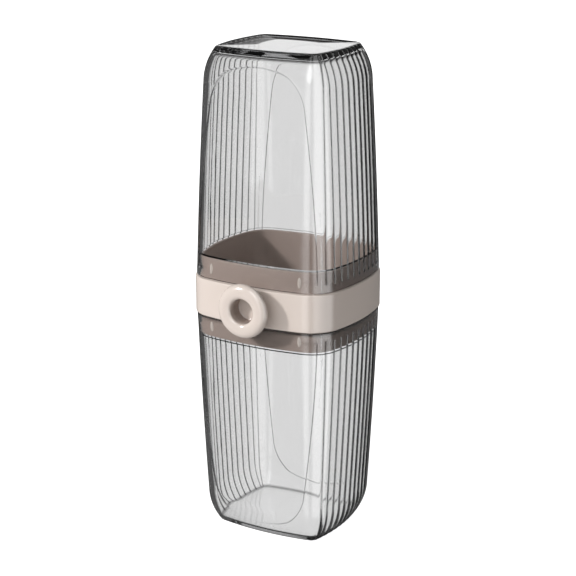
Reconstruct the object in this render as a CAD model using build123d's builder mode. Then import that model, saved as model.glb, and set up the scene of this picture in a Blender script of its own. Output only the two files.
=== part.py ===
import os

from build123d import *

# Toothbrush travel cup: two clear fluted cups that close onto one collar.
# Millimetres, +Z up. The origin is the middle of the flat base, and the ring knob faces -Y.

# Outline of the case, seen from above, at the collar band
case_width = 72.5
case_depth = 63.9
front_bow_radius = 128.0
side_bow_radius = 90.0
corner_radius = 14.0

# Cups, both from one mould. The wall starts just inside the band's outline, leans in by the draft,
# bows a little further, and rounds off over its last stretch to a small edge round the flat floor
cup_height = 97.85
mouth_inset = 0.5
wall_draft = 3.2
wall_bow = 1.6
end_curve_height = 14.2
end_curve_radius = 24.0
end_edge_radius = 2.4
cup_wall = 2.2
cup_floor = 2.6
cavity_edge_radius = 1.6
rim_wall = 1.65
recess_clearance = 0.3

# Flutes down both sides, and the smooth arched panels at the front and back
relief_depth = 0.35
flute_width = 0.9
flute_pitch = 4.4
flutes_per_side = 12
flute_rim_gap = 3.6
flute_reach = 8.8
flute_lead_in = 1.0
panel_rim_half_width = 29.1
panel_mid_half_width = 26.4
panel_end_half_width = 20.6
arch_crown_height = 6.4
arch_shoulder_rise = 5.2
arch_corner_radius = 8.0

# Collar: a tube that reaches into both cups, with a band round its middle
band_height = 16.4
sleeve_reach = 9.1
sleeve_wall = 1.5
sleeve_edge_radius = 0.4
band_edge_radius = 0.6
slip_clearance = 0.3
press_clearance = 0.05
rim_gap = 0.15

# Grip nubs on the sleeve
nub_spacing = 42.6
nub_length = 4.4
nub_width = 1.7
nub_proud = 0.22

# Ring knob on the front of the band
ring_radius = 11.6
ring_hole_radius = 5.3
ring_thickness = 4.5
ring_standoff = 5.9
neck_wall = 1.7
knob_floor = 0.9
knob_seat_depth = 0.3
spigot_radius = 4.0
spigot_length = 1.5

# Worked out from the sizes above
case_height = 2 * (cup_height + rim_gap) + band_height
middle_height = case_height / 2
recess_inset = mouth_inset + rim_wall
sleeve_inset = recess_inset + slip_clearance
front_bow_centre = case_depth / 2 - front_bow_radius
side_bow_centre = case_width / 2 - side_bow_radius


def outline(height, inset):
    """Case outline at a height, drawn inwards by inset: four shallow bows with rounded corners."""
    with BuildSketch(Plane.XY.offset(height)) as section:
        with Locations((0, front_bow_centre)):
            Circle(front_bow_radius - inset)
        with Locations((0, -front_bow_centre)):
            Circle(front_bow_radius - inset, mode=Mode.INTERSECT)
        with Locations((side_bow_centre, 0)):
            Circle(side_bow_radius - inset, mode=Mode.INTERSECT)
        with Locations((-side_bow_centre, 0)):
            Circle(side_bow_radius - inset, mode=Mode.INTERSECT)
        fillet(section.vertices(), corner_radius - inset)
    return section.sketch


def wall_inset(height, thickness):
    """How far a surface lies inside the band's outline, at a height and a thickness into the wall."""
    depth = (cup_height - height) / cup_height
    into_curve = max(0, end_curve_height - height)
    upright = (end_curve_radius**2 - into_curve**2) ** 0.5
    lean = (wall_draft + 2 * wall_bow * depth) / cup_height + into_curve / upright
    inset = mouth_inset + wall_draft * depth + wall_bow * depth**2 + end_curve_radius - upright
    return inset + thickness * (1 + lean**2) ** 0.5


def cup_form(thickness, floor, edge_radius):
    """The cup's form as a solid, closed end down, drawn inwards by thickness, and up to its floor."""
    curve = end_curve_height - floor
    rounded = [floor + curve * part for part in (0, 0.25, 0.55, 1)]
    straight = [end_curve_height, (end_curve_height + cup_height) / 2, cup_height]
    with BuildPart() as form:
        for heights in (rounded, straight):
            loft([outline(height, wall_inset(height, thickness)) for height in heights])
        fillet(form.edges().group_by(Axis.Z)[0], edge_radius)
    return form.part


def flute_planes():
    """One upright plane at each flute, just outside the wall and facing inwards."""
    side = Wire(outline(cup_height, mouth_inset).edges().sort_by(Axis.X)[-3:])
    planes = []
    for i in range(flutes_per_side):
        at = 0.5 + (i - (flutes_per_side - 1) / 2) * flute_pitch / side.length
        spot = side.position_at(at)
        along = side.tangent_at(at)
        inwards = Vector(0, 0, 1).cross(along)
        if inwards.X > 0:
            inwards = inwards * -1
        start = spot - inwards * flute_lead_in
        for turn in (1, -1):
            planes.append(
                Plane(
                    origin=(turn * start.X, start.Y, cup_height - flute_rim_gap),
                    x_dir=(0, 0, -1),
                    z_dir=(turn * inwards.X, inwards.Y, 0),
                )
            )
    return planes


def nub_planes():
    """Planes on the sleeve's front and back, two in each cup's rim, facing out of the wall."""
    bow = front_bow_radius - sleeve_inset
    across = nub_spacing / 2
    level = (band_height + sleeve_reach) / 2
    outwards = Vector(across, -((bow**2 - across**2) ** 0.5), 0) / bow
    spot = Vector(0, -front_bow_centre, 0) + outwards * (bow - sleeve_wall / 2)
    return [
        Plane(
            origin=(side * spot.X, face * spot.Y, middle_height + up * level),
            x_dir=(0, 0, 1),
            z_dir=(side * outwards.X, face * outwards.Y, 0),
        )
        for side in (1, -1)
        for face in (1, -1)
        for up in (1, -1)
    ]


knob_plane = Plane(
    origin=(0, knob_seat_depth - case_depth / 2, middle_height), x_dir=(1, 0, 0), z_dir=(0, -1, 0)
)

os.makedirs("parts", exist_ok=True)

# Lower cup: a fluted skin over a smooth core, hollowed, with a thinner rim for the collar
with BuildPart() as lower_cup:
    add(cup_form(0, 0, end_edge_radius))
    with BuildSketch(*flute_planes()):
        SlotOverall(2 * cup_height, flute_width, align=(Align.MIN, Align.CENTER))
    extrude(amount=flute_reach + flute_lead_in, mode=Mode.SUBTRACT)
    with BuildSketch(Plane.XZ) as panel:
        shoulder = (panel_end_half_width, arch_crown_height + arch_shoulder_rise)
        with BuildLine() as arch:
            Line((0, cup_height), (panel_rim_half_width, cup_height))
            ThreePointArc(
                (panel_rim_half_width, cup_height),
                (panel_mid_half_width, (cup_height + shoulder[1]) / 2),
                shoulder,
            )
            ThreePointArc(shoulder, (0, arch_crown_height), (-shoulder[0], shoulder[1]))
            mirror(arch.edges()[:2], about=Plane.YZ)
        make_face()
        fillet(panel.vertices().group_by(Axis.Y)[0], arch_corner_radius)
    extrude(amount=case_depth, both=True, mode=Mode.SUBTRACT)
    add(cup_form(relief_depth, relief_depth, end_edge_radius - relief_depth))
    add(cup_form(cup_wall, cup_floor, cavity_edge_radius), mode=Mode.SUBTRACT)
    recess_depth = sleeve_reach + recess_clearance
    add(outline(cup_height - recess_depth, recess_inset))
    extrude(amount=recess_depth, mode=Mode.SUBTRACT)
lower_cup.part.label = "lower_cup"
export_step(lower_cup.part, "parts/lower_cup.step")

# Upper cup: the same moulding turned over, its rim on the band's top edge
with BuildPart() as upper_cup:
    with Locations(Location((0, 0, case_height), (180, 0, 0))):
        add(lower_cup.part)
upper_cup.part.label = "upper_cup"
export_step(upper_cup.part, "parts/upper_cup.step")

# Sleeve: an open tube that a toothbrush passes through, with grip nubs for each cup
sleeve_height = band_height + 2 * sleeve_reach
with BuildPart() as collar_sleeve:
    add(outline(middle_height - sleeve_height / 2, sleeve_inset))
    extrude(amount=sleeve_height)
    bore_inset = sleeve_inset + sleeve_wall
    add(outline(middle_height - sleeve_height / 2, bore_inset))
    extrude(amount=sleeve_height, mode=Mode.SUBTRACT)
    rims = collar_sleeve.edges().group_by(Axis.Z)
    fillet(rims[0] + rims[-1], sleeve_edge_radius)
    with BuildSketch(*nub_planes()):
        SlotOverall(nub_length, nub_width)
    extrude(amount=nub_proud + sleeve_wall / 2)
collar_sleeve.part.label = "collar_sleeve"
export_step(collar_sleeve.part, "parts/collar_sleeve.step")

# Band: pressed on the sleeve's middle, with a round seat and socket for the knob
with BuildPart() as collar_band:
    add(outline(middle_height - band_height / 2, 0))
    extrude(amount=band_height)
    grip_inset = sleeve_inset - press_clearance
    add(outline(middle_height - band_height / 2, grip_inset))
    extrude(amount=band_height, mode=Mode.SUBTRACT)
    fillet(collar_band.faces().sort_by(Axis.Z)[-1].outer_wire().edges(), band_edge_radius)
    fillet(collar_band.faces().sort_by(Axis.Z)[0].outer_wire().edges(), band_edge_radius)
    with BuildSketch(knob_plane):
        Circle(ring_hole_radius + neck_wall + press_clearance)
    extrude(amount=knob_seat_depth + band_edge_radius, mode=Mode.SUBTRACT)
    with BuildSketch(knob_plane):
        Circle(spigot_radius + press_clearance)
    extrude(amount=-spigot_length - press_clearance, mode=Mode.SUBTRACT)
collar_band.part.label = "collar_band"
export_step(collar_band.part, "parts/collar_band.step")

# Ring knob: a rounded ring held off the band by a hollow neck, with a spigot in the socket
with BuildPart() as ring_knob:
    with BuildSketch(Plane(origin=knob_plane.origin, x_dir=(1, 0, 0), z_dir=(0, 0, -1))) as section:
        ring_level = ring_standoff + knob_seat_depth
        ring_width = ring_radius - ring_hole_radius
        with Locations((ring_radius - ring_width / 2, ring_level)):
            Ellipse(ring_width / 2, ring_thickness / 2)
        with Locations((ring_hole_radius, 0)):
            Rectangle(neck_wall, ring_level, align=Align.MIN)
        Rectangle(ring_hole_radius + neck_wall, knob_floor, align=Align.MIN)
        Rectangle(spigot_radius, spigot_length, align=(Align.MIN, Align.MAX))
    revolve(axis=Axis(knob_plane.origin, knob_plane.z_dir))
ring_knob.part.label = "ring_knob"
export_step(ring_knob.part, "parts/ring_knob.step")
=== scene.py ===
# %% [markdown]
# A toothbrush travel case, dressed for the camera.
#
# The real object is two clear cups that plug onto one collar. The cups are the same moulding, one of
# them turned over. Their sides are fluted, their front and back are smooth arched panels, and the walls
# are thick enough to bend light, so most of what the eye reads as drawing is refraction.
#
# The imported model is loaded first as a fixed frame. Every new piece is then placed from the frame's
# own boxes, so nothing has to be fitted by eye.

# %% Load the frame
import math

import bpy
import numpy as np
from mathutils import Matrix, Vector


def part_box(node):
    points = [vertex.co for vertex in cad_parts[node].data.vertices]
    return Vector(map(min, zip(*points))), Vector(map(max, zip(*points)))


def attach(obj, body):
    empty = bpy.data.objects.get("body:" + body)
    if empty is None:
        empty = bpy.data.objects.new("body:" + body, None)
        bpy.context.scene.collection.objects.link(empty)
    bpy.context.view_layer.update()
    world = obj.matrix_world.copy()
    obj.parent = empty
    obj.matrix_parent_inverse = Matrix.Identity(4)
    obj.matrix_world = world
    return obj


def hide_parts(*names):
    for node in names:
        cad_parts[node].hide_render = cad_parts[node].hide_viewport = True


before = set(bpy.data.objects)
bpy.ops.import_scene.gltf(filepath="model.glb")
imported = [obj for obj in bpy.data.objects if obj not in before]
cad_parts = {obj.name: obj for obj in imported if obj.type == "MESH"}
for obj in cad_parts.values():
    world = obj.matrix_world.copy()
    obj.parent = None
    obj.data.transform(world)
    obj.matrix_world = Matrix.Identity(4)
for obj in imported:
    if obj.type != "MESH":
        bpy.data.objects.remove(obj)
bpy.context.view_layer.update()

MM = 0.001

# %% [markdown]
# Everything that stacks on this object shares one outline: four shallow bows joined by round corners.
# Sizes are kept in millimetres, and heights are read from the frame.

# %% Sizes shared by all pieces
BAND_WIDTH, BAND_DEPTH = 72.5, 63.9
FRONT_BOW, SIDE_BOW, CORNER = 128.0, 90.0, 14.0
FRONT_CENTRE = BAND_DEPTH / 2 - FRONT_BOW
SIDE_CENTRE = BAND_WIDTH / 2 - SIDE_BOW

CUP_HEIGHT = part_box("lower_cup")[1].z / MM
CASE_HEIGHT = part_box("upper_cup")[1].z / MM
BAND_LOW, BAND_HIGH = (corner.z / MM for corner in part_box("collar_band"))
SLEEVE_LOW, SLEEVE_HIGH = (corner.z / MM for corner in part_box("collar_sleeve"))
print(f"cup {CUP_HEIGHT:.1f} mm, case {CASE_HEIGHT:.1f} mm, band {BAND_LOW:.1f} to {BAND_HIGH:.1f} mm")

# %% [markdown]
# The outline is worked out for one quarter and mirrored. Two big circles make the side and front bows,
# and a small circle that touches both from inside makes the corner. Its centre is where two circles
# cross, so the three arcs meet without a kink. Drawing the outline inwards moves every point in along
# its own normal, which keeps the centres and only makes the circles smaller.

# %% Outline of the case
MOUTH_INSET = 0.5


def corner_circle():
    """Centre of the corner's circle, and the directions where it meets the side and front bows.

    The centre lies (bow - CORNER) from each bow's centre. Directions are angles from +X."""
    to_front, to_side = FRONT_BOW - CORNER, SIDE_BOW - CORNER
    apart = math.hypot(SIDE_CENTRE, FRONT_CENTRE)
    along = (apart**2 + to_front**2 - to_side**2) / (2 * apart)
    off = math.sqrt(to_front**2 - along**2)
    ex, ey = SIDE_CENTRE / apart, -FRONT_CENTRE / apart
    cx = along * ex + off * ey
    cy = FRONT_CENTRE + along * ey - off * ex
    return cx, cy, math.atan2(cy, cx - SIDE_CENTRE), math.atan2(cy - FRONT_CENTRE, cx)


CORNER_X, CORNER_Y, CORNER_LOW, CORNER_HIGH = corner_circle()
SIDE_RUN = (SIDE_BOW - MOUTH_INSET) * CORNER_LOW
CORNER_RUN = (CORNER - MOUTH_INSET) * (CORNER_HIGH - CORNER_LOW)
FRONT_RUN = (FRONT_BOW - MOUTH_INSET) * (math.pi / 2 - CORNER_HIGH)
QUARTER_RUN = SIDE_RUN + CORNER_RUN + FRONT_RUN
print(f"a quarter of a cup's rim is {QUARTER_RUN:.1f} mm long")


def quarter(distance):
    """Points and normals of the band's quarter outline, from the side's middle to the back's middle.

    distance is an array in mm, measured along a cup's rim. The angle grows evenly on each arc."""
    side = np.clip(distance / SIDE_RUN, 0, 1)
    corner = np.clip((distance - SIDE_RUN) / CORNER_RUN, 0, 1)
    front = np.clip((distance - SIDE_RUN - CORNER_RUN) / FRONT_RUN, 0, 1)
    angle = (CORNER_LOW * side + (CORNER_HIGH - CORNER_LOW) * corner
             + (math.pi / 2 - CORNER_HIGH) * front)
    centre_x = np.where(side < 1, SIDE_CENTRE, np.where(front > 0, 0, CORNER_X))
    centre_y = np.where(side < 1, 0, np.where(front > 0, FRONT_CENTRE, CORNER_Y))
    radius = np.where(side < 1, SIDE_BOW, np.where(front > 0, FRONT_BOW, CORNER))
    nx, ny = np.cos(angle), np.sin(angle)
    return centre_x + radius * nx, centre_y + radius * ny, nx, ny


# %% [markdown]
# A closed outline is the quarter mirrored three times. The columns of a quarter need not be evenly
# spaced: they sit close where the surface has detail and far apart where it is plain.

# %% Whole outline
def around(distance, inset, *others):
    """Rows x columns of x, y, nx, ny, and of any other quarter given, carried round the four quarters.

    Columns run from +X over +Y, -X and -Y back to +X; a column on a mirror line is kept once."""
    x, y, nx, ny = quarter(distance)
    x, y = x - inset * nx, y - inset * ny

    def mirror_thrice(q, sx=1, sy=1):
        """A quarter and its three mirrors, sx and sy being the sign that each mirror gives it."""
        q = np.broadcast_to(q, x.shape)
        return np.concatenate([q, sx * q[:, -2::-1], sx * sy * q[:, 1:], sy * q[:, -2:0:-1]], 1)

    signed = ((x, -1, 1), (y, 1, -1), (nx, -1, 1), (ny, 1, -1))
    return [mirror_thrice(*entry) for entry in signed] + [mirror_thrice(other) for other in others]


# %% [markdown]
# Every piece of this case is a grid of points whose columns close into a loop. One helper turns such
# a grid into a mesh, whole arrays at a time.

# %% Grid mesh
def new_object(name, data):
    """An object that shows the data, linked to the scene."""
    made = bpy.data.objects.new(name, data)
    bpy.context.scene.collection.objects.link(made)
    return made


def grid_mesh(name, points, cap_start=None, cap_end=None, closed_rows=False, inwards=False, crease=30):
    """A mesh from rows x columns of points, its columns closed into a loop.

    cap_start and cap_end are pole points that fan the first and last row shut. closed_rows joins the
    last row to the first, as on a ring. inwards turns the faces round. An edge sharper than crease
    degrees isn't smoothed."""
    rows, cols, _ = points.shape
    index = np.arange(rows * cols).reshape(rows, cols)
    here = index if closed_rows else index[:-1]
    above = np.roll(index, -1, 0) if closed_rows else index[1:]
    quads = np.stack([here, np.roll(here, -1, 1), np.roll(above, -1, 1), above], -1).reshape(-1, 4)
    corners = [quads.ravel()]
    sizes = [np.full(len(quads), 4)]
    verts = [points.reshape(-1, 3)]
    count = rows * cols
    for pole, row, turn_way in ((cap_start, index[0], 1), (cap_end, index[-1], -1)):
        if pole is None:
            continue
        ring = np.stack([np.roll(row, -1), row], -1)[:, ::turn_way]
        corners.append(np.column_stack([ring, np.full(cols, count)]).ravel())
        sizes.append(np.full(cols, 3))
        verts.append(np.array([pole]))
        count += 1
    loops, sizes, verts = np.concatenate(corners), np.concatenate(sizes), np.concatenate(verts)
    starts = np.concatenate([[0], np.cumsum(sizes)[:-1]])
    mesh = bpy.data.meshes.new(name)
    mesh.vertices.add(len(verts))
    mesh.vertices.foreach_set("co", (verts * MM).astype(np.float32).ravel())
    mesh.loops.add(len(loops))
    mesh.loops.foreach_set("vertex_index", loops.astype(np.int32))
    mesh.polygons.add(len(sizes))
    mesh.polygons.foreach_set("loop_start", starts.astype(np.int32))
    mesh.polygons.foreach_set("loop_total", sizes.astype(np.int32))
    mesh.update(calc_edges=True)
    if inwards:
        mesh.flip_normals()
    mesh.shade_smooth()
    mesh.set_sharp_from_angle(angle=math.radians(crease))
    mesh.validate()
    print(f"{name}: {int((sizes - 2).sum())} triangles")
    return new_object(name, mesh)


# %% [markdown]
# The cups do most of the work in the picture. Each is one closed skin: up the outside from the flat
# closed end, over the rim, down the inside and across the inner floor. Clear plastic only bends light
# properly when the wall has two real faces, so the inside is modelled as carefully as the outside, down
# to the step where the collar's sleeve seats.
#
# The rows of the skin are a profile: how far the wall lies inside the outline, and how high it is.

# %% Profile of a cup's wall
WALL_DRAFT, WALL_BOW = 3.2, 1.6
CURVE_HEIGHT, CURVE_RADIUS = 14.2, 24.0
EDGE_ROWS = 8


def wall_inset(z, thickness=0.0):
    """Inset of the wall at height z: draft, bow, the end's rounding, and its thickness along X or Y.

    The draft grows evenly from the rim, the bow as its square, and the rounding is a circle's arc. A
    wall that leans is as much wider in the flat as its slope is longer than its height."""
    depth = (CUP_HEIGHT - z) / CUP_HEIGHT
    into_curve = np.maximum(0, CURVE_HEIGHT - z)
    upright = np.sqrt(CURVE_RADIUS**2 - into_curve**2)
    lean = (WALL_DRAFT + 2 * WALL_BOW * depth) / CUP_HEIGHT + into_curve / upright
    inset = MOUTH_INSET + WALL_DRAFT * depth + WALL_BOW * depth**2 + CURVE_RADIUS - upright
    return inset + thickness * np.sqrt(1 + lean**2)


def wall_tilt(z, thickness=0.0):
    """Angle in radians by which the wall's outward normal dips at height z, from the inset's slope."""
    step = 0.01
    fall = wall_inset(z - step, thickness) - wall_inset(z + step, thickness)
    return np.arctan(fall / (2 * step))


def floor_edge(radius, floor, thickness):
    """Inset, height and tilt along the small arc that joins the floor to the wall.

    The arc touches the floor and the wall: its centre is one radius above the floor and one radius in
    from the wall, so the height where they meet is floor + r (1 - sin tilt), found by repetition."""
    z = floor
    for _ in range(12):
        tilt = wall_tilt(z, thickness)
        z = floor + radius * (1 - np.sin(tilt))
    centre = wall_inset(z, thickness) + radius * np.cos(tilt)
    a = np.linspace(math.pi / 2, tilt, EDGE_ROWS)
    return centre - radius * np.cos(a), floor + radius * (1 - np.sin(a)), a


print(f"the wall lies {wall_inset(0.0):.1f} mm inside the band's outline at the closed end")

# %% [markdown]
# The mouth is where the sleeve plugs in, so the wall is thinner there: a recess, then a small bevelled
# step down to the full wall. The upper cup's floor is thicker than the lower one's and more rounded
# inside, because the photo shows a taller dark edge there.

# %% Inside of a cup
WALL, RIM_WALL, RECESS_DEPTH = 2.2, 1.65, 9.4
RIM_ROUND, STEP_BEVEL, RIM_SHORT = 0.35, 0.6, 0.25
SKIN_TOP = CUP_HEIGHT - RIM_SHORT
OUT_RIM_ROWS, IN_RIM_ROWS, RECESS_ROWS = 5, 4, 4
LOWER_FLOOR, LOWER_ROUNDING = 2.6, 1.8
UPPER_FLOOR, UPPER_ROUNDING = 3.3, 3.0


def turn(radius, angles):
    """How far an arc has moved in and along at angles in degrees: r (1 - cos a), r (1 - sin a)."""
    a = np.radians(angles)
    return radius * (1 - np.cos(a)), radius * (1 - np.sin(a))


def inner_rows(floor, rounding):
    """Inset and height of the inside, from the rim over the recess step to the edge of the floor."""
    rim_in, rim_z = turn(RIM_ROUND, np.linspace(-90, 0, IN_RIM_ROWS))
    z_step = CUP_HEIGHT - RECESS_DEPTH
    z_recess = np.concatenate([
        SKIN_TOP - 2 * RIM_ROUND + rim_z, np.linspace(SKIN_TOP - 2, z_step, RECESS_ROWS)])
    in_recess = np.full(len(z_recess), MOUTH_INSET + RIM_WALL)
    in_recess[:IN_RIM_ROWS] -= rim_in
    edge_in, edge_z, _ = floor_edge(rounding, floor, WALL)
    z_wall = np.concatenate([
        np.linspace(z_step - STEP_BEVEL, 16, 10), np.arange(15.2, edge_z[-1] + 0.3, -0.7)])
    z_cavity = np.concatenate([[z_step], z_wall, edge_z[::-1]])
    in_cavity = np.concatenate([
        [wall_inset(z_step, WALL) - STEP_BEVEL], wall_inset(z_wall, WALL), edge_in[::-1]])
    return np.concatenate([in_recess, in_cavity]), np.concatenate([z_recess, z_cavity])


print(f"recess: {RECESS_DEPTH} mm deep, in a wall of {RIM_WALL} mm")

# %% [markdown]
# The flutes make the case look like pressed glass. Seen close, each land is nearly flat and the dark
# line between two lands is a narrow valley. Nothing is cut: a depth is worked out for every point of
# the skin, and the point moves in along its own normal by that much.
#
# The arched panels are plain, and lie a fraction of a millimetre lower than the corners round them. All
# that shows of them is their edge, as a fine line. The arch is one parabola over the panel's width,
# and each side edge is another that widens towards the rim.

# %% Flutes and arched panels
PITCH, FLUTES, FLUTE_DEPTH, VALLEY_POWER = 4.4, 6, 0.36, 3.4
FLUTED = FLUTES * PITCH
FLUTE_TOP, FLUTE_FADE, PANEL_FADE = 3.3, 0.9, 2.5
STEEPEST, STEEP_FADE = math.radians(80), 0.5
CROWN_HEIGHT, SHOULDER_RISE, ARCH_RADIUS = 6.4, 5.2, 8.0
PANEL_END, PANEL_MIDDLE, PANEL_RIM = 20.6, 26.4, 29.1
PANEL_DEPTH, PANEL_STEP = 0.36, 0.44


def smooth(t):
    """Smoothstep: 0 below 0, 1 above 1, and 3t^2 - 2t^3 between."""
    t = np.clip(t, 0, 1)
    return t * t * (3 - 2 * t)


def below_rim(z, fade):
    """1 in the fluted part of the wall, 0 in the plain rim, with a smooth step over the height fade."""
    return smooth((CUP_HEIGHT - FLUTE_TOP - z) / fade)


def valley(run, z, tilt, power):
    """0 on a land, 1 at the bottom of a valley: (1 - 2|t|)^power, t being the share of a pitch from it.

    Valleys end at the rim, and in the closed end where the wall leans over too far."""
    t = run / PITCH - 0.5
    t = t - np.round(t)
    ends = below_rim(z, FLUTE_FADE) * smooth((STEEPEST - tilt) / STEEP_FADE)
    return np.where(run < FLUTED, (1 - 2 * np.abs(t)) ** power * ends, 0)


def panel_half(z):
    """Half the panel's width at height z: the parabola through its shoulder, its middle and its rim."""
    shoulder = CROWN_HEIGHT + SHOULDER_RISE
    heights = (shoulder, (shoulder + CUP_HEIGHT) / 2, CUP_HEIGHT)
    return np.polyval(np.polyfit(heights, (PANEL_END, PANEL_MIDDLE, PANEL_RIM), 2), z)


def arch_rise(x):
    """How far the arch has risen above its crown at x, as x squared."""
    return SHOULDER_RISE * (x / PANEL_END) ** 2


def panel_share(x, z):
    """0 outside an arched panel, 1 inside it, with a smooth step across its edge.

    The distance from the edge is the smaller of two, from the side edge and from the arch. Where both
    are near, it is taken from a circle instead, which rounds the shoulder."""
    beside = panel_half(z) - np.abs(x)
    slope = 2 * SHOULDER_RISE * x / PANEL_END**2
    above = (z - CROWN_HEIGHT - arch_rise(x)) / np.sqrt(1 + slope**2)
    rounded = ARCH_RADIUS - np.hypot(ARCH_RADIUS - beside, ARCH_RADIUS - above)
    in_corner = (beside < ARCH_RADIUS) & (above < ARCH_RADIUS)
    distance = np.where(in_corner, rounded, np.minimum(beside, above))
    return smooth(distance / PANEL_STEP + 0.5)


print(f"{4 * FLUTES} flutes, and two panels up to {2 * PANEL_RIM:.0f} mm wide")

# %% [markdown]
# A fine line stays fine only if the mesh follows it. So the columns crowd at every valley and at the
# panel's side edge, which they follow up the wall. The rows crowd at the arch's crown and where the
# flutes end, and near the arch they bend up with it.

# %% Rows and columns of a cup
EDGE_RADIUS, CLEAR_OF_EDGE = 1.8, 0.2
BEND_FROM, BEND_FADE = 2.5, 18
CORNER_END, SHOULDER_END = 0.9, 7.5


def wall_rows(lowest):
    """Heights of rows up the outer wall above lowest: the arch, the plain wall and the flutes' ends."""
    beside_crown = np.array([-0.5, -0.3, -0.17, -0.06, 0.06, 0.17, 0.3, 0.5])
    rows = np.concatenate([
        np.arange(1.2, CROWN_HEIGHT - 0.6, 0.4), CROWN_HEIGHT + beside_crown,
        np.arange(CROWN_HEIGHT + 0.8, 16.5, 0.4), np.arange(17, 29, 1.1),
        np.linspace(30, CUP_HEIGHT - 5.4, 18),
        np.arange(CUP_HEIGHT - 5.0, CUP_HEIGHT - 2.4, 0.22), [CUP_HEIGHT - 1.8, CUP_HEIGHT - 1.0],
    ])
    return rows[rows > lowest]


def edge_distance(z, inset):
    """Where the panel's side edge crosses a row, as a distance along the outline.

    On a circle the angle of a point at half the panel's width is acos(half / radius)."""
    half = panel_half(np.maximum(z, CROWN_HEIGHT + SHOULDER_RISE))
    on_front = np.arccos(half / (FRONT_BOW - inset))
    on_corner = np.arccos(np.clip((half - CORNER_X) / (CORNER - inset), -1, 1))
    from_front = SIDE_RUN + CORNER_RUN + (FRONT_BOW - MOUTH_INSET) * (on_front - CORNER_HIGH)
    from_corner = SIDE_RUN + (CORNER - MOUTH_INSET) * (on_corner - CORNER_LOW)
    return np.where(on_front > CORNER_HIGH, from_front, from_corner)


def cup_columns(edge):
    """Rows x columns of distances for a quarter: flutes, corner, the panel's edge and the panel."""
    share = np.array([0.02, 0.045, 0.075, 0.11, 0.155, 0.22, 0.31, 0.41, 0.5])
    across = np.concatenate([-share[-2::-1], [0], share])
    flutes = (PITCH * (np.arange(FLUTES)[:, None] + 0.5 + across)).ravel()
    flutes = np.concatenate([[0], flutes[:-1], [FLUTED - 0.2, FLUTED - 0.05]])[None]
    near = np.array([-0.7, -0.4, -0.22, -0.1, 0, 0.1, 0.22, 0.4, 0.7])
    edge = edge[:, None]
    corner = FLUTED + (edge - CORNER_END - FLUTED) * np.linspace(0.03, 1, 7)
    shoulder = edge + np.linspace(1.0, SHOULDER_END, 20)
    panel = edge + SHOULDER_END + (QUARTER_RUN - edge - SHOULDER_END) * np.linspace(0, 1, 8)[1:]
    flutes = np.broadcast_to(flutes, (len(edge), flutes.shape[1]))
    return np.concatenate([flutes, corner, edge + near, shoulder, panel], 1)


def outer_grid():
    """Rows x columns of x, y, nx, ny, z, tilt and run up the outer wall, before its relief.

    The rows are the edge's rounding, the wall and the rim's rounding. A row near the arch is lifted by
    the arch's rise, times a share that fades out below the crown and above the shoulder."""
    edge_in, edge_z, edge_tilt = floor_edge(EDGE_RADIUS, 0.0, 0.0)
    rim_in, rim_z = turn(RIM_ROUND, np.linspace(0, -90, OUT_RIM_ROWS))
    wall = wall_rows(edge_z[-1] + CLEAR_OF_EDGE)
    z = np.concatenate([edge_z, wall, SKIN_TOP - 2 * RIM_ROUND + rim_z])
    inset = wall_inset(z)
    inset[:EDGE_ROWS], inset[-OUT_RIM_ROWS:] = edge_in, MOUTH_INSET + rim_in
    run = cup_columns(edge_distance(z, inset))
    x, *_ = quarter(run)
    lift = smooth((z - BEND_FROM) / (CROWN_HEIGHT - BEND_FROM))
    lift *= 1 - smooth((z - CROWN_HEIGHT) / BEND_FADE)
    height = z[:, None] + lift[:, None] * arch_rise(np.minimum(x - inset[:, None], PANEL_END))
    inset, tilt = wall_inset(height), wall_tilt(height)
    inset[:EDGE_ROWS], inset[-OUT_RIM_ROWS:] = edge_in[:, None], (MOUTH_INSET + rim_in)[:, None]
    tilt[:EDGE_ROWS] = edge_tilt[:, None]
    return around(run, inset, height, tilt, run)


# %% [markdown]
# In the photo the valleys, panel edges, rims and closed ends are drawn by lines thinner than a pixel.
# Refraction alone leaves them pale at this size, so beside its relief the mesh carries a number: how
# dark a line is at each point, which the material paints in as shade. The valleys nearest the front
# right get broader lines of painted shade. The arches are fainter at the front than the side edges,
# and the lower cup's dies away towards the left.

# %% Relief and dark lines
LINE_POWER, BROADER, BROAD_FROM, BROAD_OVER = 10, 6, 3.2, 2
PANEL_LINE_POWER = 0.55
ARCH_DEPTH, ARCH_FADE, DYING_FROM, DYING_OVER = 0.3, 8, 16, 20
END_LINE, FLOOR_LINE, STEP_LINE, RIM_LINE = 0.9, 0.4, 0.8, 1.0
ROUNDING = np.sin(np.linspace(0, math.pi, EDGE_ROWS))[:, None] ** 2


def relief(x, y, z, tilt, run, arch_left):
    """How deep the outer wall lies below its plain surface at each point, and how dark its lines are.

    A panel's line is (4 p (1 - p))^power, p being the panel's share, which is highest on the edge.
    arch_left is how much of the front arch remains at its left end."""
    panel, at_rim = panel_share(x, z), below_rim(z, PANEL_FADE)
    front_arch = smooth((CROWN_HEIGHT + ARCH_FADE - z) / ARCH_FADE) * (y < 0)
    shown = 1 - (1 - arch_left) * front_arch * smooth((DYING_FROM - x) / DYING_OVER)
    panel_depth = PANEL_DEPTH * panel * at_rim * (1 - (1 - ARCH_DEPTH) * front_arch) * shown
    depth = FLUTE_DEPTH * valley(run, z, tilt, VALLEY_POWER) + panel_depth
    # Painted shade: the valleys at the front right get broader dark lines, where the light leaves them
    # darker.
    front_right = smooth((run / PITCH - BROAD_FROM) / BROAD_OVER) * (x > 0) * (y < 0)
    panel_line = (4 * panel * (1 - panel)) ** PANEL_LINE_POWER * at_rim * shown
    line = np.maximum(valley(run, z, tilt, LINE_POWER - BROADER * front_right), panel_line)
    line[:EDGE_ROWS] = np.maximum(line[:EDGE_ROWS], END_LINE * ROUNDING)
    return depth, line


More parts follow.
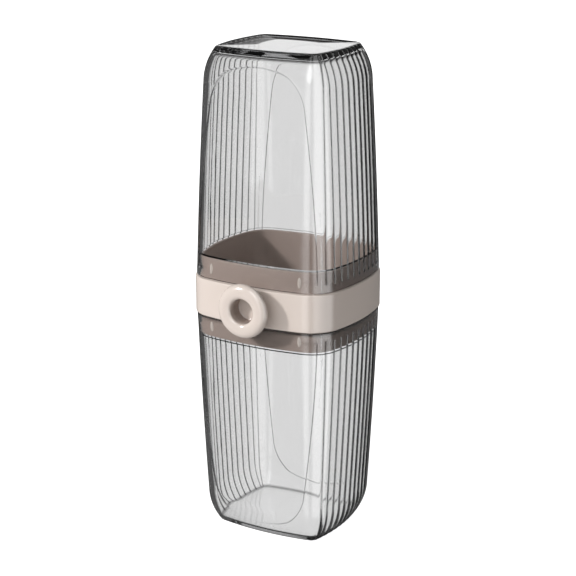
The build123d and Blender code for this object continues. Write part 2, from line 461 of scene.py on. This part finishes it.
# %% [markdown]
# The flat end of the upper cup has a dark band along its back and left edges in the photo, where light
# is guided sideways in the thick end and doesn't come out. A second number marks that zone, in the
# rings next to the edge. What it does is left to the material.
#
# A whole skin is then four grids in a row: rings of the flat end, the outside, the inside, and rings of
# the inner floor.

# %% Skin of a cup
FLAT_RINGS, FLOOR_RINGS = (0.2, 0.42, 0.48, 0.72, 0.82, 0.96), (0.975, 0.9, 0.4)
GUIDED_ROWS = (0, 0, 0.7, 0.78, 1.0, 1.0, 0.75, 0.7)
FAR_SIDE, FAR_FADE, FLECKS = (-0.5, 0.87), 0.3, 0.22


def rings(row, shares):
    """Copies of a row drawn in towards the axis: x and y times each share, and z as it is."""
    return row * (np.array(shares)[:, None, None] * (1, 1, 0) + (0, 0, 1))


def guided_zone(nx, ny, run):
    """The zone's strength in each column: 1 where the normal points to the far side, 0 beyond a fade.

    Over the flutes a cosine takes off up to 2 x FLECKS, twice in a pitch."""
    far = smooth((FAR_SIDE[1] * ny + FAR_SIDE[0] * nx + FAR_FADE) / FAR_FADE)
    swing = 1 - FLECKS + FLECKS * np.cos(4 * math.pi * run / PITCH)
    return far * np.where(run < FLUTED, swing, 1)


def cup_skin(floor, rounding, arch_left, dark_edges):
    """Points of a whole cup as rows x columns, and its numbers for dark lines and for the guided zone.

    floor is the closed end's thickness and rounding the radius where it meets the wall inside. With
    dark_edges the whole of the rim and of the closed end's edge is a line."""
    x, y, nx, ny, z, tilt, run = outer_grid()
    depth, line = relief(x, y, z, tilt, run, arch_left)
    level = depth * np.cos(tilt)
    outside = np.stack([x - level * nx, y - level * ny, z + depth * np.sin(tilt)], -1)
    inset, height = (a[:, None] for a in inner_rows(floor, rounding))
    x, y, _, _, z = around(cup_columns(edge_distance(height, inset)[:, 0]), inset, height)
    inside = np.stack([x, y, z], -1)
    points = np.concatenate([
        rings(outside[0], FLAT_RINGS), outside, inside, rings(inside[-1], FLOOR_RINGS)])
    end, rim, floor_end = len(FLAT_RINGS), len(FLAT_RINGS) + len(outside), -len(FLOOR_RINGS)
    lines = np.zeros(points.shape[:2])
    lines[end:rim] = line
    lines[rim + IN_RIM_ROWS + RECESS_ROWS] = STEP_LINE
    lines[floor_end - EDGE_ROWS:floor_end] = FLOOR_LINE * ROUNDING
    # Painted shade: on the lower cup the whole rim and the closed end's edge are painted dark all
    # round, as the shade under the band and round the base.
    if dark_edges:
        lines[rim - OUT_RIM_ROWS:rim + IN_RIM_ROWS] = RIM_LINE
        lines[end:end + EDGE_ROWS] = END_LINE
    # Painted shade: the guided number darkens the flat end's back and left edges, the side away from
    # the camera.
    guided = np.zeros(points.shape[:2])
    strength = guided_zone(nx[-1], ny[-1], run[-1])
    guided[:len(GUIDED_ROWS)] = np.array(GUIDED_ROWS)[:, None] * strength
    return points, lines, guided


# %% [markdown]
# The lower cup stands on its closed end. The upper one is turned over by mirroring its heights, which
# also turns its faces round, so they are turned back. The numbers go to the mesh as attributes, which a
# material can read.

# %% The two cups
def carry(piece, name, values):
    """Gives a mesh a number at every point of its grid under that name, and 0 at its two poles."""
    mark = piece.data.attributes.new(name, "FLOAT", "POINT")
    mark.data.foreach_set("value", np.append(values.ravel(), [0, 0]).astype(np.float32))


skin, lines, _ = cup_skin(LOWER_FLOOR, LOWER_ROUNDING, arch_left=0.0, dark_edges=True)
lower_cup = grid_mesh("clear_lower_cup", skin, (0, 0, 0), (0, 0, LOWER_FLOOR))
carry(lower_cup, "line", lines)

skin, lines, guided = cup_skin(UPPER_FLOOR, UPPER_ROUNDING, arch_left=1.0, dark_edges=False)
turned = skin * (1, 1, -1) + (0, 0, CASE_HEIGHT)
upper_cup = grid_mesh(
    "clear_upper_cup", turned, (0, 0, CASE_HEIGHT), (0, 0, CASE_HEIGHT - UPPER_FLOOR), inwards=True)
carry(upper_cup, "line", lines)
carry(upper_cup, "guided", guided)

# %% [markdown]
# The collar's sleeve and band are plain rings with softened edges: one closed profile carried round the
# outline. A rounded rectangle is enough, but the edge radii matter, because a bright line of reflected
# light runs along each of them.

# %% Sleeve and band
SLEEVE_PLAY, SLEEVE_WALL, PRESS = 0.3, 1.5, 0.05
SLEEVE_INSET = MOUTH_INSET + RIM_WALL + SLEEVE_PLAY
RING_COLUMNS = np.concatenate([
    np.linspace(0, SIDE_RUN, 15)[:-1],
    np.linspace(SIDE_RUN, SIDE_RUN + CORNER_RUN, 28)[:-1],
    np.linspace(SIDE_RUN + CORNER_RUN, QUARTER_RUN, 14),
])


def rounded_profile(out_inset, in_inset, z_low, z_high, out_radius, in_radius):
    """Closed profile (inset, z) of a wall: up the outside, over the top, down the inside and back.

    Each edge is a quarter circle."""
    (out_c, out_s), (in_c, in_s) = (turn(r, np.linspace(0, 90, 6)) for r in (out_radius, in_radius))
    up = np.linspace(z_low + out_radius, z_high - out_radius, 9)
    down = np.linspace(z_high - in_radius, z_low + in_radius, 9)[1:-1]
    inset = np.concatenate([
        np.full(len(up), out_inset), out_inset + out_c[1:],
        in_inset - in_s, np.full(len(down), in_inset),
        in_inset - in_c, out_inset + out_s[:-1],
    ])
    z = np.concatenate([
        up, z_high - out_s[1:], z_high - in_c, down, z_low + in_s, z_low + out_c[:-1]])
    return inset, z


def loop_piece(name, inset, z):
    """A closed profile carried round the outline."""
    x, y, _, _, z = around(RING_COLUMNS[None], inset[:, None], z[:, None])
    return grid_mesh(name, np.stack([x, y, z], -1), closed_rows=True)


sleeve = loop_piece("taupe_sleeve", *rounded_profile(
    SLEEVE_INSET, SLEEVE_INSET + SLEEVE_WALL, SLEEVE_LOW, SLEEVE_HIGH, out_radius=0.4, in_radius=0.4))
band = loop_piece("beige_band", *rounded_profile(
    0, SLEEVE_INSET - PRESS, BAND_LOW, BAND_HIGH, out_radius=0.6, in_radius=0.25))

# %% [markdown]
# Eight small upright nubs on the sleeve take up the play in the cups. Each is a low dome with its foot
# sunk into the sleeve: an ellipse that shrinks as it rises.

# %% Grip nubs
NUB_X, NUB_LENGTH, NUB_WIDTH = 21.3, 4.4, 1.7
NUB_PROUD, NUB_SUNK, DOME_POWER = 0.22, 0.3, 0.6
NUB_RINGS, NUB_COLUMNS, SMALLEST_RING = 9, 32, 0.12
NUB_RISE = (SLEEVE_HIGH - BAND_LOW) / 2
MIDDLE = (BAND_LOW + BAND_HIGH) / 2


def sleeve_face(x):
    """How far the sleeve's front face lies from the middle at x: the front bow's circle, inset."""
    return FRONT_CENTRE + np.sqrt((FRONT_BOW - SLEEVE_INSET) ** 2 - x**2)


def nub_points(x0, z0, side):
    """A dome over an ellipse: at the share r of its radius it stands NUB_PROUD (1 - r^2)^power high."""
    r = np.sin(np.linspace(math.pi / 2, SMALLEST_RING, NUB_RINGS))
    rise = np.concatenate([[-NUB_SUNK], NUB_PROUD * (1 - r**2) ** DOME_POWER])
    r = np.concatenate([[1.0], r])
    a = np.linspace(0, 2 * math.pi, NUB_COLUMNS + 1)[:-1]
    x = x0 + r[:, None] * np.cos(a) * NUB_WIDTH / 2
    z = z0 + r[:, None] * np.sin(a) * NUB_LENGTH / 2
    y = side * (sleeve_face(x) + rise[:, None])
    return np.stack([x, y, z], -1)


nubs = []
for side in (-1, 1):
    for x0 in (-NUB_X, NUB_X):
        for z0 in (MIDDLE - NUB_RISE, MIDDLE + NUB_RISE):
            foot, top = ((x0, side * (sleeve_face(x0) + r), z0) for r in (-NUB_SUNK, NUB_PROUD))
            nubs.append(grid_mesh(
                f"grip_nub_{len(nubs)}", nub_points(x0, z0, side), foot, top,
                inwards=side > 0, crease=60))

# %% [markdown]
# The ring knob is one profile swept round its own axis. It runs from the middle of the blind hole's
# floor up the bore, over the fat ring, back under it and down the neck to its foot. The photo shades
# the bore more than one lamp can, so the knob carries a number too: how far each row of its profile
# lies in that shade.

# %% Ring knob
RING_RADIUS, HOLE_RADIUS, RING_THICK, STANDOFF = 11.6, 5.3, 4.5, 5.9
NECK_WALL, KNOB_FLOOR, SEAT, INNER_POWER = 1.7, 0.9, 0.3, 3.2
BORE_ROUND, THROAT_ROUND = 0.6, 0.5
KNOB_COLUMNS = 128
BORE_SHADE = (0, 0, 0, 0, 0.2, 0.4, 0.7, 1, 1, 1, 1, 1, 0.8, 0.7, 0.6, 0.45, 0.3, 0.15)
SEAT_Y = -(BAND_DEPTH / 2 - SEAT)
RING_Y = -(BAND_DEPTH / 2 + STANDOFF)


def knob_profile():
    """Radius and y of the knob's outline, from the hole's floor round the ring to the foot's middle.

    The ring's section is an ellipse, a cos t and b sin t. On the side of the hole both waves are raised
    to 2 / INNER_POWER, which squares it up."""
    half_wide, half_thick = (RING_RADIUS - HOLE_RADIUS) / 2, RING_THICK / 2
    mid_radius, neck = HOLE_RADIUS + half_wide, HOLE_RADIUS + NECK_WALL
    under = math.acos((mid_radius - neck) / half_wide)
    t = np.linspace(math.pi, 3 * math.pi - under, 44)
    power = np.where(np.cos(t) < 0, 2 / INNER_POWER, 1)
    c, s = (np.sign(wave) * np.abs(wave) ** power for wave in (np.cos(t), np.sin(t)))
    ring_r, ring_y = mid_radius + half_wide * c, RING_Y + half_thick * s
    floor_y, top = SEAT_Y - KNOB_FLOOR, ring_y[-1]
    up, out = turn(BORE_ROUND, np.linspace(0, 90, 7))
    bore_r = np.concatenate([[2.0, 3.6], HOLE_RADIUS - out, np.full(4, HOLE_RADIUS)])
    bore_y = np.concatenate([
        [floor_y] * 2, floor_y - up, np.linspace(floor_y - 1.4, RING_Y + 0.5, 4)])
    down, out = turn(THROAT_ROUND, np.linspace(0, 90, 6))
    neck_r = np.concatenate([neck + out, np.full(4, neck), [4.0, 2.0]])
    neck_y = np.concatenate([top + down, np.linspace(top + 1.0, SEAT_Y, 4), [SEAT_Y] * 2])
    return np.concatenate([bore_r, ring_r, neck_r[1:]]), np.concatenate([bore_y, ring_y, neck_y[1:]])


def turned_on_y(radius, y):
    """Points of a profile swept round an axis along Y at the collar's middle height."""
    a = np.linspace(0, 2 * math.pi, KNOB_COLUMNS + 1)[:-1]
    x = radius[:, None] * np.cos(a)
    z = MIDDLE + radius[:, None] * np.sin(a)
    return np.stack([x, np.broadcast_to(y[:, None], x.shape), z], -1)


knob_r, knob_y = knob_profile()
knob = grid_mesh(
    "ring_knob_skin", turned_on_y(knob_r, knob_y), (0, knob_y[0], MIDDLE), (0, knob_y[-1], MIDDLE))
in_bore = np.zeros(len(knob_r))
in_bore[:len(BORE_SHADE)] = BORE_SHADE
carry(knob, "bore", np.repeat(in_bore, KNOB_COLUMNS))

# %% [markdown]
# Materials are trees of nodes, and most of their steps are small sums. A few helpers keep them short.

# %% Helpers for nodes
def node(tree, kind, *values, operation=None, **named):
    """Adds a node; values fill its inputs in order, named ones by name, and a socket is linked."""
    made = tree.nodes.new(kind)
    if operation:
        made.operation = operation
    for key, value in [*enumerate(values), *named.items()]:
        socket = made.inputs[key if isinstance(key, int) else key.replace("_", " ")]
        if isinstance(value, bpy.types.NodeSocket):
            tree.links.new(value, socket)
        else:
            socket.default_value = value
    return made


def maths(tree, operation, *values):
    """The result of one sum on numbers."""
    return node(tree, "ShaderNodeMath", *values, operation=operation).outputs["Value"]


def vectors(tree, operation, *values, result="Vector", **named):
    """The result of one sum on vectors. A dot product or a length gives it as the number Value."""
    return node(tree, "ShaderNodeVectorMath", *values, operation=operation, **named).outputs[result]


def ramp(tree, value, start, end, low, high, smoothly=False):
    """low up to start, high from end on, and between them a straight line or a smooth step."""
    made = node(tree, "ShaderNodeMapRange", value, start, end, low, high)
    if smoothly:
        made.interpolation_type = "SMOOTHSTEP"
    return made.outputs["Result"]


def carried(tree, name):
    """The number that a mesh carries under that name, or 0 where it carries none."""
    made = tree.nodes.new("ShaderNodeAttribute")
    made.attribute_name = name
    return made.outputs["Fac"]


# %% [markdown]
# Moulded plastic is never perfectly even. The polished tool leaves a faint orange peel, the matt parts
# carry a fine grain, and handling leaves the gloss a little patchy. One node group makes all three, and
# each material asks for its own amounts.

# %% Shared moulding texture
PEEL_SIZE, GRAIN_SIZE, PATCH_SIZE, CLOUD_SIZE = 420, 5200, 60, 35


def moulded_group():
    """Colour, gloss and height of a moulded surface, from its position on the object in metres.

    Height is peel x noise + grain x finer noise. Gloss moves by patchiness x (noise - 1/2), and the
    colour is scaled by 1 + mottle x (noise - 1/2)."""
    tree = bpy.data.node_groups.new("moulded surface", "ShaderNodeTree")
    number, colour = "NodeSocketFloat", "NodeSocketColor"
    amounts = [(name, number) for name in ("Peel", "Grain", "Roughness", "Patchiness", "Mottle")]
    for name, kind in (*amounts, ("Color", colour)):
        tree.interface.new_socket(name, in_out="INPUT", socket_type=kind)
    for name, kind in (("Color", colour), ("Roughness", number), ("Height", number)):
        tree.interface.new_socket(name, in_out="OUTPUT", socket_type=kind)
    given = tree.nodes.new("NodeGroupInput").outputs
    place = tree.nodes.new("ShaderNodeTexCoord").outputs["Object"]

    def noise(scale, detail):
        """A cloudy pattern between 0 and 1, about scale times to the metre."""
        return node(tree, "ShaderNodeTexNoise", Vector=place, Scale=scale, Detail=detail).outputs["Fac"]

    peel = maths(tree, "MULTIPLY", noise(PEEL_SIZE, 1), given["Peel"])
    grain = maths(tree, "MULTIPLY", noise(GRAIN_SIZE, 2), given["Grain"])
    patches = maths(tree, "SUBTRACT", noise(PATCH_SIZE, 3), 0.5)
    patches = maths(tree, "MULTIPLY", patches, given["Patchiness"])
    cloud = maths(tree, "SUBTRACT", noise(CLOUD_SIZE, 2), 0.5)
    lightness = maths(tree, "ADD", 1.0, maths(tree, "MULTIPLY", cloud, given["Mottle"]))
    node(
        tree, "NodeGroupOutput",
        Color=vectors(tree, "SCALE", given["Color"], Scale=lightness),
        Roughness=maths(tree, "ADD", given["Roughness"], patches),
        Height=maths(tree, "ADD", peel, grain),
    )
    return tree


moulded = moulded_group()
print(f"moulding texture: {len(moulded.nodes)} nodes")


def moulded_material(name, color, roughness, peel, grain, patchiness, mottle, bump, ior=1.5):
    """A Principled material wearing the shared moulding texture; returns it and the texture's node.

    bump is the height in metres that the texture's 1 stands for. A gloss with no patches is set on the
    shader itself."""
    material = bpy.data.materials.new(name)
    material.use_nodes = True
    tree = material.node_tree
    shader = tree.nodes["Principled BSDF"]
    shader.inputs["IOR"].default_value = ior
    texture = tree.nodes.new("ShaderNodeGroup")
    texture.node_tree = moulded
    for key, value in (("Color", (*color, 1)), ("Roughness", roughness), ("Peel", peel),
                       ("Grain", grain), ("Patchiness", patchiness), ("Mottle", mottle)):
        texture.inputs[key].default_value = value
    raised = node(tree, "ShaderNodeBump", Height=texture.outputs["Height"], Strength=1.0, Distance=bump)
    tree.links.new(texture.outputs["Color"], shader.inputs["Base Color"])
    tree.links.new(raised.outputs["Normal"], shader.inputs["Normal"])
    if patchiness:
        tree.links.new(texture.outputs["Roughness"], shader.inputs["Roughness"])
    else:
        shader.inputs["Roughness"].default_value = roughness
    print(f"{name}: roughness {roughness}, IOR {ior}")
    return material, texture


# %% [markdown]
# The band and the ring are a warm beige with a soft gloss, the sleeve is taupe and a little duller. The
# nubs are the sleeve's plastic in a paler taupe. In the knob's blind hole the beige is darkened as
# painted shade, by the number that the knob carries; the band carries none. A mix node's colour
# sockets are found by their place, since their names occur more than once.

# %% Opaque plastics
BEIGE, SHADED_BORE_BEIGE = (0.68, 0.595, 0.54), (0.30, 0.235, 0.20)
TAUPE, PALE_NUB_TAUPE = (0.45, 0.36, 0.318), (0.75, 0.67, 0.61)
FINE_BUMP = 0.00002
MIX_FACTOR, MIX_FIRST, MIX_SECOND, MIXED = 0, 6, 7, 2

beige, texture = moulded_material(
    "warm beige plastic", BEIGE, roughness=0.17, peel=0.5, grain=0.3, patchiness=0.04, mottle=0.03,
    bump=FINE_BUMP, ior=1.7)
tree = beige.node_tree
# Painted shade: in the knob's blind hole the beige is mixed towards a darker one by the bore number.
shade = tree.nodes.new("ShaderNodeMix")
shade.data_type = "RGBA"
shade.inputs[MIX_FIRST].default_value = (*BEIGE, 1)
shade.inputs[MIX_SECOND].default_value = (*SHADED_BORE_BEIGE, 1)
tree.links.new(carried(tree, "bore"), shade.inputs[MIX_FACTOR])
tree.links.new(shade.outputs[MIXED], texture.inputs["Color"])

taupe, _ = moulded_material(
    "taupe plastic", TAUPE, roughness=0.34, peel=0.4, grain=0.8, patchiness=0.08, mottle=0.05,
    bump=FINE_BUMP)
# The nubs are a paler taupe than the sleeve, with a little more gloss.
nub_taupe, _ = moulded_material(
    "paler taupe plastic of the nubs", PALE_NUB_TAUPE, roughness=0.25, peel=0.4, grain=0.6,
    patchiness=0.08, mottle=0.05, bump=FINE_BUMP)

# %% [markdown]
# The cups are clear plastic with a trace of smoke in it. A tinted surface would look the same through
# thick and thin; a real one darkens with the length of the light's way, so the tint is a volume that
# absorbs. That draws the dark lines along the edges, and the lines that the mesh carries add a
# painted darker tone to them, as shade.
#
# Light for the inside has to get through too. Cycles takes a refracting wall as opaque when it asks
# whether a lamp is in sight, so for shadow rays alone the wall becomes mostly see-through.

# %% Smoke clear plastic
SHADE, CLEAR_TONE, LINE_TONE = 0.96, 0.925, 0.25
SMOKE, SMOKE_DENSITY = (0.06, 0.06, 0.075, 1), 22.0

smoke, texture = moulded_material(
    "smoke clear plastic", (1, 1, 1), roughness=0.0, peel=0.5, grain=0.0, patchiness=0.0, mottle=0.0,
    bump=0.000001, ior=1.55)
tree = smoke.node_tree
shader = tree.nodes["Principled BSDF"]
shader.inputs["Transmission Weight"].default_value = 1.0
shadow_ray = tree.nodes.new("ShaderNodeLightPath").outputs["Is Shadow Ray"]
tree.links.new(maths(tree, "MULTIPLY_ADD", shadow_ray, -SHADE, 1.0), shader.inputs["Alpha"])
# Painted shade: the number that the mesh carries as its line darkens the clear tone.
line_tone = ramp(tree, carried(tree, "line"), 0, 1, CLEAR_TONE, LINE_TONE)
tint = node(tree, "ShaderNodeVolumeAbsorption", Color=SMOKE, Density=SMOKE_DENSITY)
tree.links.new(tint.outputs["Volume"], tree.nodes["Material Output"].inputs["Volume"])

# %% [markdown]
# The guided zone shows only when the flat end is seen at a low angle, as trapped light does. So its
# number is multiplied by a ramp over Layer Weight, which grows towards grazing. Where both are high the
# tone goes nearly black, and the normal leans to the front right, so that the end mirrors the dark
# overhead and not the white wall behind it.

# %% Guided zone of the flat end
GRAZE_FROM, GRAZE_FULL, GUIDED_TONE = 0.5, 0.8, 0.03
GUIDED_LEAN, LEAN_AZIMUTH = 0.4, 30


def aim(azimuth, elevation):
    """Unit vector out from the object: azimuth 0 is its front, 90 its right, in degrees."""
    a, e = math.radians(azimuth), math.radians(elevation)
    return np.array([math.sin(a) * math.cos(e), -math.cos(a) * math.cos(e), math.sin(e)])


facing_away = tree.nodes.new("ShaderNodeLayerWeight").outputs["Facing"]
grazing = ramp(tree, facing_away, GRAZE_FROM, GRAZE_FULL, 0, 1)
# Painted shade: where the guided zone is seen at a grazing angle, the clear tone is painted nearly
# black.
caught = maths(tree, "MULTIPLY", carried(tree, "guided"), grazing)
tone = node(tree, "ShaderNodeMix", Factor=caught, A=line_tone, B=GUIDED_TONE)
tree.links.new(tone.outputs["Result"], texture.inputs["Color"])
lean = vectors(tree, "SCALE", tuple(GUIDED_LEAN * aim(LEAN_AZIMUTH, 0)), Scale=caught)
leaning = vectors(tree, "ADD", tree.nodes["Bump"].outputs["Normal"], lean)
tree.links.new(vectors(tree, "NORMALIZE", leaning), shader.inputs["Normal"])
print(f"{smoke.name}: {len(tree.nodes)} nodes")

# %% [markdown]
# Each skin gets its material, rides on the body that carries it, and stands for its solid in the frame.
# The nubs stand for no solid, so they only ride.

# %% Dress and mount the pieces
for piece, material, body, slot, node_name in (
    (lower_cup, smoke, "lower_cup", "clear_cup", "lower_cup"),
    (upper_cup, smoke, "upper_cup", "clear_cup", "upper_cup"),
    (sleeve, taupe, "collar", "sleeve_plastic", "collar_sleeve"),
    (band, beige, "collar", "band_plastic", "collar_band"),
    (knob, beige, "collar", "band_plastic", "ring_knob"),
):
    piece.data.materials.append(material)
    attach(piece, body)
    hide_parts(node_name)
    print(f"{piece.name} rides on {body}")
for nub in nubs:
    nub.data.materials.append(nub_taupe)
    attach(nub, "collar")

# %% [markdown]
# The studio is bright field, as for glassware. Behind the object, in line with the camera, is a white
# screen, and what lies above it is dark. A plain stretch of wall shows the screen, and every edge or
# valley that bends the view upwards shows as a dark line. The sides and the ground are only a little
# darker, or the cups would go black seen from above.
#
# What a polished surface mirrors is a different matter: a white wall behind, a soft lamp in front, and
# two upright soft boxes, one of them at the right. What lights the matt surfaces is an even fill with
# more from the front and the back. One node group gives all three as brightness in a direction.

# %% Round lights in the studio
def disc(tree, way, towards, full, edge, inside, outside):
    """A round light with a soft rim: inside up to the angle full, outside from the angle edge on.

    The angle is the one between way and the light's middle; their dot product is its cosine."""
    cosine = vectors(tree, "DOT_PRODUCT", way, tuple(towards), result="Value")
    start, end = (math.cos(math.radians(angle)) for angle in (edge, full))
    return ramp(tree, cosine, start, end, outside, inside, smoothly=True)


# %% [markdown]
# Angles are in degrees from the middle of each light. The screen's two levels above and below are discs
# round the poles, and a soft box is a disc in the compass direction alone, cut off under the horizon.

# %% Surroundings
CAMERA_AZIMUTH, CAMERA_ELEVATION = 29.9, 16.69
SCREEN_WHITE, SCREEN_DARK, SCREEN_SIDES = 13, 34, 0.7
BAND_WHITE, BAND_DARK, SCREEN_BLACK, SCREEN_GROUND = 26, 48, 0.06, 0.85
MIRROR_WHITE, MIRROR_EDGE, MIRROR_DARK = 14, 26, 0.10
LAMP_AZIMUTH, LAMP_ELEVATION, LAMP_FULL, LAMP_EDGE, LAMP_BRIGHT = 10, 30, 8, 22, 2.5
STRIPS, STRIP_FOOT, STRIP_END = ((6, 3, 16, 1.7), (70, 24, 44, 2.3)), 112, 135
FILL_AZIMUTH, FILL_ELEVATION, FILL_EDGE = -12, 22, 60
FILL_ALL, FILL_FRONT, FILL_BACK = 0.12, 1.3, 0.8


def seen_through(tree, way):
    """The screen opposite the camera, times a level that falls off towards each pole."""
    screen = -aim(CAMERA_AZIMUTH, CAMERA_ELEVATION)
    through = disc(tree, way, screen, SCREEN_WHITE, SCREEN_DARK, 1.0, SCREEN_SIDES)
    for pole, darkest in (((0, 0, 1), SCREEN_BLACK), ((0, 0, -1), SCREEN_GROUND)):
        level = disc(tree, way, pole, 90 - BAND_DARK, 90 - BAND_WHITE, darkest, 1.0)
        through = maths(tree, "MULTIPLY", through, level)
    return through


def seen_mirrored(tree, way):
    """The white wall behind the object, the lamp and the soft boxes, added up."""
    behind, lamp = aim(CAMERA_AZIMUTH + 180, CAMERA_ELEVATION), aim(LAMP_AZIMUTH, LAMP_ELEVATION)
    wall = disc(tree, way, behind, MIRROR_WHITE, MIRROR_EDGE, 1.0, MIRROR_DARK)
    mirrored = maths(tree, "ADD", wall, disc(tree, way, lamp, LAMP_FULL, LAMP_EDGE, LAMP_BRIGHT, 0.0))
    above = disc(tree, way, (0, 0, 1), STRIP_FOOT, STRIP_END, 1.0, 0.0)
    compass = vectors(tree, "NORMALIZE", vectors(tree, "MULTIPLY", way, (1, 1, 0)))
    for azimuth, full, edge, bright in STRIPS:
        strip = disc(tree, compass, aim(azimuth, 0), full, edge, bright, 0.0)
        mirrored = maths(tree, "MULTIPLY_ADD", strip, above, mirrored)
    return mirrored


def even_fill(tree, way):
    """An even level, with one wide soft lobe from the front and one from the back."""
    front, back = (aim(FILL_AZIMUTH + round_by, FILL_ELEVATION) for round_by in (0, 180))
    return maths(
        tree, "ADD", disc(tree, way, front, 0, FILL_EDGE, FILL_ALL + FILL_FRONT, FILL_ALL),
        disc(tree, way, back, 0, FILL_EDGE, FILL_BACK, 0.0))


def surround_group():
    """Brightness of the studio in a direction, as seen through, mirrored, and as a fill."""
    tree = bpy.data.node_groups.new("studio surround", "ShaderNodeTree")
    tree.interface.new_socket("Direction", in_out="INPUT", socket_type="NodeSocketVector")
    for name in ("Through", "Mirrored", "Fill"):
        tree.interface.new_socket(name, in_out="OUTPUT", socket_type="NodeSocketFloat")
    way = tree.nodes.new("NodeGroupInput").outputs["Direction"]
    node(
        tree, "NodeGroupOutput", Through=seen_through(tree, way), Mirrored=seen_mirrored(tree, way),
        Fill=even_fill(tree, way))
    return tree


surround = surround_group()
print(f"studio surround: {len(surround.nodes)} nodes")

# %% [markdown]
# Cycles tells a material what kind of ray is asking. A ray that has been through a wall asks what lies
# behind, a mirrored one what is reflected, and a scattered one for the fill. A ray straight from the
# camera finds plain white, which makes the background.

# %% World
def studio_light(tree, direction):
    """Brightness for each kind of ray; light that was scattered once counts as fill from then on."""
    sight = tree.nodes.new("ShaderNodeLightPath").outputs
    studio = tree.nodes.new("ShaderNodeGroup")
    studio.node_tree = surround
    tree.links.new(direction, studio.inputs["Direction"])
    level = studio.outputs["Fill"]
    for ray, seen in (
        ("Is Glossy Ray", studio.outputs["Mirrored"]),
        ("Is Transmission Ray", studio.outputs["Through"]),
        ("Glossy Depth", studio.outputs["Mirrored"]),
        ("Diffuse Depth", studio.outputs["Fill"]),
        ("Is Camera Ray", 1.0),
    ):
        level = node(tree, "ShaderNodeMix", Factor=sight[ray], A=level, B=seen).outputs["Result"]
    return level


world = bpy.data.worlds.new("studio")
bpy.context.scene.world = world
world.use_nodes = True
tree = world.node_tree
direction = tree.nodes.new("ShaderNodeTexCoord").outputs["Generated"]
background = tree.nodes["Background"]
background.inputs["Color"].default_value = (1, 1, 1, 1)
tree.links.new(studio_light(tree, direction), background.inputs["Strength"])
print(f"world: {len(tree.nodes)} nodes")

# %% [markdown]
# The ground has to be white in the picture, keep the object's shadow, and not show through the clear
# cups as a ground at all. So rays that were mirrored or bent pass it by and find the studio. To the
# camera it is matt paper with its own faint glow, just enough to lift it to white where no shadow lies.

# %% Floor
FLOOR_HALF, FLOOR_GAP = 5.0, 0.00005
PAPER, PAPER_ROUGHNESS, WHITE = (0.8, 0.8, 0.8, 1), 0.9, (1, 1, 1, 1)
GLOW_FROM, GLOW_TO, GLOW_NEAR, GLOW_FAR = 0.05, 0.3, 0.72, 1.0
floor_mesh = bpy.data.meshes.new("studio_floor")
corners = [
    (x * FLOOR_HALF, y * FLOOR_HALF, -FLOOR_GAP) for x, y in ((-1, -1), (1, -1), (1, 1), (-1, 1))]
floor_mesh.from_pydata(corners, [], [(0, 1, 2, 3)])
floor = new_object("studio_floor", floor_mesh)
floor.visible_glossy = False
floor.visible_transmission = False

paper = bpy.data.materials.new("white ground")
paper.use_nodes = True
tree = paper.node_tree
shader = tree.nodes["Principled BSDF"]
for name, value in (("Base Color", PAPER), ("Roughness", PAPER_ROUGHNESS),
                    ("Specular IOR Level", 0.0), ("Emission Color", WHITE)):
    shader.inputs[name].default_value = value
place = tree.nodes.new("ShaderNodeTexCoord").outputs["Object"]
away = vectors(tree, "LENGTH", place, result="Value")
glow = ramp(tree, away, GLOW_FROM, GLOW_TO, GLOW_NEAR, GLOW_FAR, smoothly=True)
camera_ray = tree.nodes.new("ShaderNodeLightPath").outputs["Is Camera Ray"]
tree.links.new(maths(tree, "MULTIPLY", glow, camera_ray), shader.inputs["Emission Strength"])
floor_mesh.materials.append(paper)
print(f"floor: {2 * FLOOR_HALF:.0f} m square")

# %% [markdown]
# One small lamp at the left gives the picture its direction: the ring's crisp shadow on the band, the
# slanting edge of light inside the sleeve, and the sparks on the ring. It lights the matt pieces and
# the ground only.

# %% Lamp
KEY_AZIMUTH, KEY_ELEVATION, KEY_DISTANCE = -37, 26, 1.2
KEY_SIZE, KEY_WATTS = (0.11, 0.14), 8.5
data = bpy.data.lights.new("key", "AREA")
data.shape, data.size, data.size_y, data.energy = "RECTANGLE", *KEY_SIZE, KEY_WATTS
key = new_object("key", data)
key.location = aim(KEY_AZIMUTH, KEY_ELEVATION) * KEY_DISTANCE + (0, 0, MIDDLE * MM)
key.rotation_euler = (math.radians(90 - KEY_ELEVATION), 0, math.radians(KEY_AZIMUTH))
matt_pieces = bpy.data.collections.new("pieces that the key lights")
for piece in (sleeve, band, knob, floor, *nubs):
    matt_pieces.objects.link(piece)
key.light_linking.receiver_collection = matt_pieces

# %% [markdown]
# The camera stands where the photo was taken from, which was worked out from the shape of the band and
# the walls. It looks at the middle of the case through a long lens.

# %% Camera
DISTANCE, LENS, SENSOR, TARGET_Z, TARGET_RIGHT = 743.1, 107.28, 36, 106.4, -0.18
camera = new_object("camera", bpy.data.cameras.new("camera"))
camera.data.lens, camera.data.sensor_width = LENS, SENSOR
camera.data.clip_end = 50
target = np.array([0, 0, TARGET_Z]) + aim(CAMERA_AZIMUTH + 90, 0) * TARGET_RIGHT
camera.location = (target + aim(CAMERA_AZIMUTH, CAMERA_ELEVATION) * DISTANCE) * MM
camera.rotation_euler = (math.radians(90 - CAMERA_ELEVATION), 0, math.radians(CAMERA_AZIMUTH))
bpy.context.scene.camera = camera
print(f"camera: {DISTANCE:.0f} mm away, {LENS:.0f} mm lens")

# %% [markdown]
# A ray meets four faces of a cup on its way, and more along the flutes, so it needs far more bounces
# than usual. Colours are shown as they are, without a film look.

# %% Finish
BOUNCES, MIRROR_BOUNCES = 32, 8
scene = bpy.context.scene
scene.view_settings.view_transform = "Standard"
scene.cycles.max_bounces = BOUNCES
scene.cycles.transmission_bounces = BOUNCES
scene.cycles.transparent_max_bounces = BOUNCES
scene.cycles.glossy_bounces = MIRROR_BOUNCES
